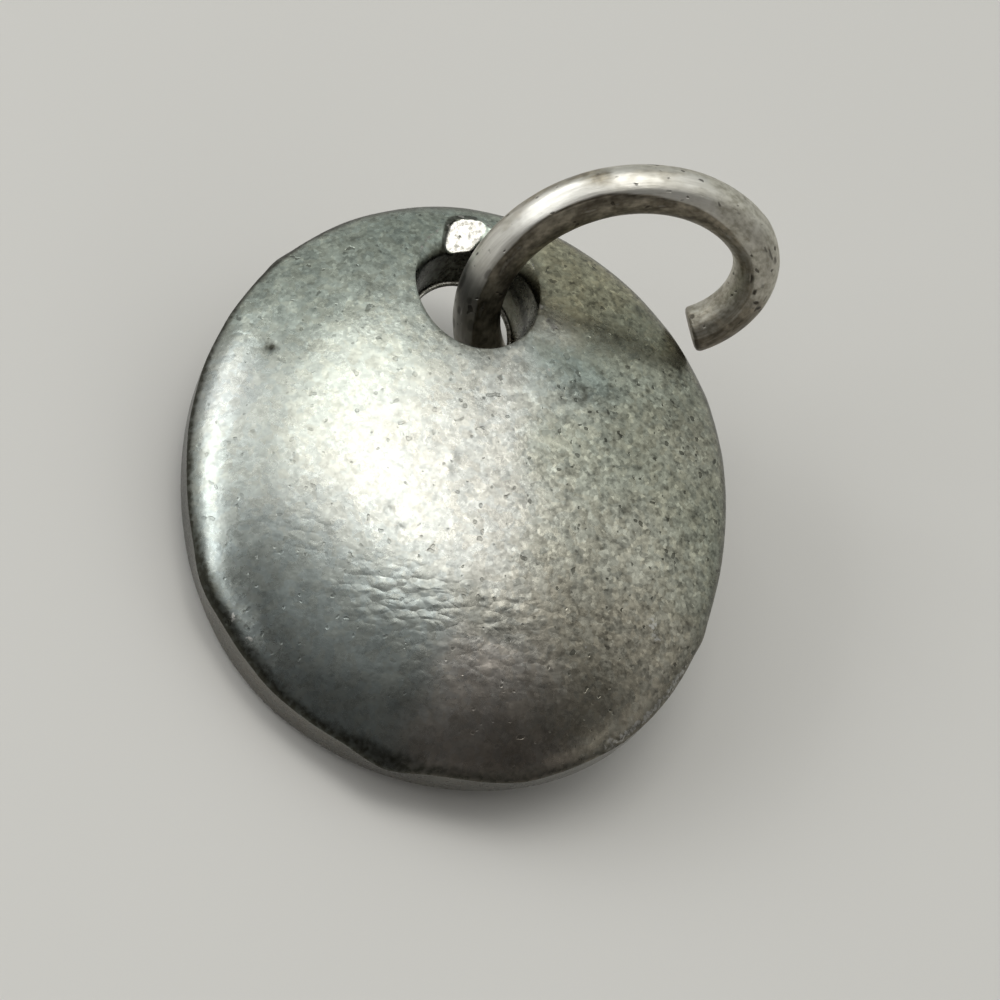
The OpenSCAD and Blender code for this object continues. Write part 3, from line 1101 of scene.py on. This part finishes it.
def mark_gap(way, degrees, mark):
    """Distance from the middle of a mark, as a share of its reach."""
    along, round_at, reach_along, reach_round, _ = mark
    return np.hypot((way - along) / reach_along, (degrees - round_at) / reach_round)


def rubbed_radius(way, phi, radius):
    """Radius of the wire where its top is rubbed flat."""
    cosine = np.cos(phi - math.radians(RUB_AT))
    flat = np.where(cosine > RUB_COSINE, RUB_OUT / np.maximum(cosine, RUB_COSINE), OUT_OF_REACH)
    cut = -np.logaddexp(-radius / RUB_SOFT, -flat / RUB_SOFT) * RUB_SOFT
    return mix(radius, cut, stretch(way, *RUB_WAY))


def dull_face(way, degrees):
    """1 on the dull face of the bent end."""
    return (1 - smooth(*DULL_FADE, way)) * stretch(degrees, *DULL_ROUND)


def shaded_dull_spots(way, degrees, lump):
    """Strength of the dull spots on the rubbed top, tarnish that also paints shade into its highlight."""
    return np.max([row[-1] * bell(mark_gap(way, degrees, row) + SPOT_WANDER * lump) for row in SHADED_DULL_SPOTS], 0)


def ring_grime_and_shade(way, degrees, lump):
    """Strength of the brown grime and painted shade."""
    past_from = degrees - by_table(GRIME_AND_SHADE_FROM, way) + FROM_WANDER * lump
    past_to = degrees - by_table(GRIME_AND_SHADE_TO, way) + TO_WANDER * lump
    inner = smooth(-FROM_SOFT, FROM_SOFT, past_from) * (1 - smooth(-TO_SOFT, TO_SOFT, past_to))
    return np.max([
        inner * mix(BENT_GRIME_AND_SHADE, 1.0, smooth(*BENT_FADE, way)),
        TAIL_GRIME_AND_SHADE * smooth(*TAIL_FADE, way),
        OUTER_GRIME_AND_SHADE * stretch(way, *OUTER_WAY) * (1 - smooth(*OUTER_ROUND, degrees)),
        CUT_GRIME_AND_SHADE * (1 - smooth(*CUT_FADE, way)),
        SIDE_GRIME_AND_SHADE * (1 - smooth(*SIDE_FADE, way)) * smooth(*SIDE_ROUND, degrees),
        DULL_GRIME_AND_SHADE * dull_face(way, degrees),
        shaded_dull_spots(way, degrees, lump),
    ], 0)


def ring_olive(way, degrees, lump):
    """Strength of the olive tarnish."""
    outer = OUTER_OLIVE * (1 - smooth(*OLIVE_ROUND, degrees))
    olive = by_table(OLIVE_ALONG, way) + OLIVE_WANDER * lump + outer
    return np.clip(np.maximum(olive, shaded_dull_spots(way, degrees, lump)), 0, 1)


def ring_cuts(way, degrees, lump):
    """Strength of the black marks and the seam."""
    past_seam = degrees - by_table(GRIME_AND_SHADE_FROM, way) - SEAM_PAST + FROM_WANDER * lump
    cuts = SEAM_BLACK * bell(past_seam / SEAM_HALF) * stretch(way, *SEAM_WAY)
    cuts = np.maximum(cuts, DULL_BLACK * dull_face(way, degrees))
    for row in CUTS:
        away = mark_gap(way, degrees, row) + MARK_WANDER * lump
        cuts = np.maximum(cuts, row[-1] * (1 - smooth(*MARK_FADE, away)))
    return cuts


def ring_paint(way, turn, points):
    """Grime and painted shade, olive tarnish and black marks of the wire."""
    lump = noise_at(points, PAINT_LUMP, 4.0)
    degrees = (np.degrees(turn) + 90) % 360 - 90
    paints = {"grime_and_shade": ring_grime_and_shade, "olive": ring_olive, "cuts": ring_cuts}
    return {name: paint(way, degrees, lump) for name, paint in paints.items()}


def make_ring(turn, shift):
    way, point, outward = ring_path(RING_SECTIONS)
    down, side, axis = ring_plane()
    out = outward[:, :1] * down + outward[:, 1:] * side
    phi = np.linspace(0, 2 * math.pi, ROUND_WIRE, endpoint=False)
    section = np.cos(phi)[None, :, None] * out[:, None] + np.sin(phi)[None, :, None] * axis
    radius = rubbed_radius(way[:, None], phi[None], wire_radius(way, way[-1])[:, None])
    grid = ring_points_3d(point)[:, None] + radius[..., None] * section
    mesh = grid_mesh("ring_wire", grid, closed_rows=False, caps=True)
    along, around = np.broadcast_arrays(way[:, None], phi[None])
    unrolled = np.stack([along, radius * np.cos(phi), radius * np.sin(phi)], 2).reshape(-1, 3)
    add_attribute(mesh, "wire_mm", unrolled)
    for name, paint in ring_paint(along.ravel(), around.ravel(), unrolled).items():
        add_attribute(mesh, name, paint)
    points = grid.reshape(-1, 3)
    points = points + mesh_normals(mesh) * lumpy(points, WIRE_DENTS)[:, None]
    set_points(mesh, (points @ turn.T + shift) * MM)
    make_piece("ring_wire", mesh, wire_metal(), "jump_ring")


def make_floor():
    corners = [(x * FLOOR_HALF, y * FLOOR_HALF, 0) for x, y in ((-1, -1), (1, -1), (1, 1), (-1, 1))]
    mesh = bpy.data.meshes.new("floor")
    mesh.from_pydata(corners, [], [(0, 1, 2, 3)])
    mesh.materials.append(floor_paint())
    floor = add_object("floor", mesh)


# Soft lights round the pendant: azimuth from +Y towards +X, elevation, width and height in metres,
# radiance, and warmth of the colour from 0 to 1
LIGHT_DISTANCE = 0.5
OVERHEAD = (
    (-36, 78, 0.09, 0.09, 4.7, 1),
    (0, 87, 0.09, 0.09, 2.9, 1),
    (-24, 63, 0.14, 0.09, 2.8, 1),
    (-66, 66, 0.09, 0.09, 1.65, 1),
    (-32, 70, 0.25, 0.09, 2.2, 1),
    (36, 78, 0.09, 0.09, 1.35, 1),
    (60, 66, 0.3, 0.3, 0.26, 0.8),
    (-120, 66, 0.2, 0.2, 0.26, 0.5),
)
LOW = (
    (-100, 28, 0.19, 0.14, 2.9, 0),
    (-78, 28, 0.19, 0.14, 3.8, 0),
    (-56, 28, 0.19, 0.14, 2.6, 0),
    (-60, 45, 0.2, 0.2, 1.34, 0),
    (85, 42, 0.3, 0.3, 0.28, 0.8),
    (120, 26, 0.26, 0.22, 0.42, 0.9),
    (155, 20, 0.3, 0.2, 0.26, 0.9),
)
COOL, WARM = (0.98, 1.0, 1.0), (1.0, 0.99, 0.95)
# The room's near and far colours, and the directions between which they change
ROOM_NEAR, ROOM_FAR = (0.13, 0.128, 0.122), (0.59, 0.61, 0.585)
ROOM_CHANGE = (-0.3, 0.2)


def softbox(name, azimuth, elevation, width, height, radiance, warmth, roll=0.0):
    """A light that faces the pendant, rolled about its line of sight."""
    light = bpy.data.lights.new(name, "AREA")
    light.shape = "RECTANGLE"
    light.size, light.size_y = width, height
    light.energy = radiance * math.pi * width * height
    light.color = mix(np.array(COOL), np.array(WARM), warmth)
    lamp = add_object(name, light)
    azimuth, elevation = math.radians(azimuth), math.radians(elevation)
    level = math.cos(elevation)
    away = Vector((math.sin(azimuth) * level, math.cos(azimuth) * level, math.sin(elevation)))
    lamp.location = away * LIGHT_DISTANCE
    turn = Matrix.Rotation(math.radians(roll), 4, "Z").to_quaternion()
    lamp.rotation_euler = (away.to_track_quat("Z", "Y") @ turn).to_euler()


def make_world():
    """A dim room, paler on the far side."""
    world = bpy.data.worlds.new("room")
    world.use_nodes = True
    tree = world.node_tree
    way = node(tree, "ShaderNodeTexCoord").outputs["Generated"]
    parts = node(tree, "ShaderNodeSeparateXYZ", Vector=way).outputs
    far = ramp(tree, parts["Y"], *ROOM_CHANGE)
    feed(tree, tree.nodes["Background"].inputs["Color"], blend(tree, far, ROOM_NEAR, ROOM_FAR))
    bpy.context.scene.world = world


def make_lights():
    for i, row in enumerate(OVERHEAD):
        softbox(f"overhead_{i}", *row, roll=row[0])
    for i, row in enumerate(LOW):
        softbox(f"low_{i}", *row)
    make_world()


def disc_axes():
    """The view's axes in the disc's frame: across, towards the hole, and out of the front."""
    tilt, towards, hole = (math.radians(a) for a in (VIEW_TILT, TILT_TOWARDS, HOLE_TOWARDS))
    front = Vector((math.sin(tilt) * math.cos(towards), math.sin(tilt) * math.sin(towards), math.cos(tilt)))
    up = Vector((math.cos(hole), math.sin(hole), 0))
    up = (up - front * up.dot(front)).normalized()
    return up.cross(front), up, front


def make_camera(turn, shift):
    """The photograph's view, turned from the disc's frame to the lying pendant."""
    axes = np.array([list(axis) for axis in disc_axes()])
    offset = np.array([*VIEW_OFFSET, 0.0])
    place = turn @ (axes @ (np.array([0, 0, VIEW_DISTANCE]) - offset)) + shift
    camera = bpy.data.cameras.new("camera")
    camera.sensor_width = SENSOR
    camera.lens = PIXELS_PER_MM * VIEW_DISTANCE * SENSOR / PHOTO_PIXELS
    camera.clip_start, camera.clip_end = NEAREST, FARTHEST
    holder = add_object("camera", camera)
    facing = Matrix((turn @ axes).tolist()).to_4x4()
    holder.matrix_world = Matrix.Translation(place * MM) @ facing
    bpy.context.scene.camera = holder


GRID = disc_grid()
TURN, SHIFT = lying_pose(GRID)
make_camera(TURN, SHIFT)
make_disc(GRID, TURN, SHIFT)
make_ring(TURN, SHIFT)
make_floor()
make_lights()
bpy.context.scene.view_settings.view_transform = "Standard"
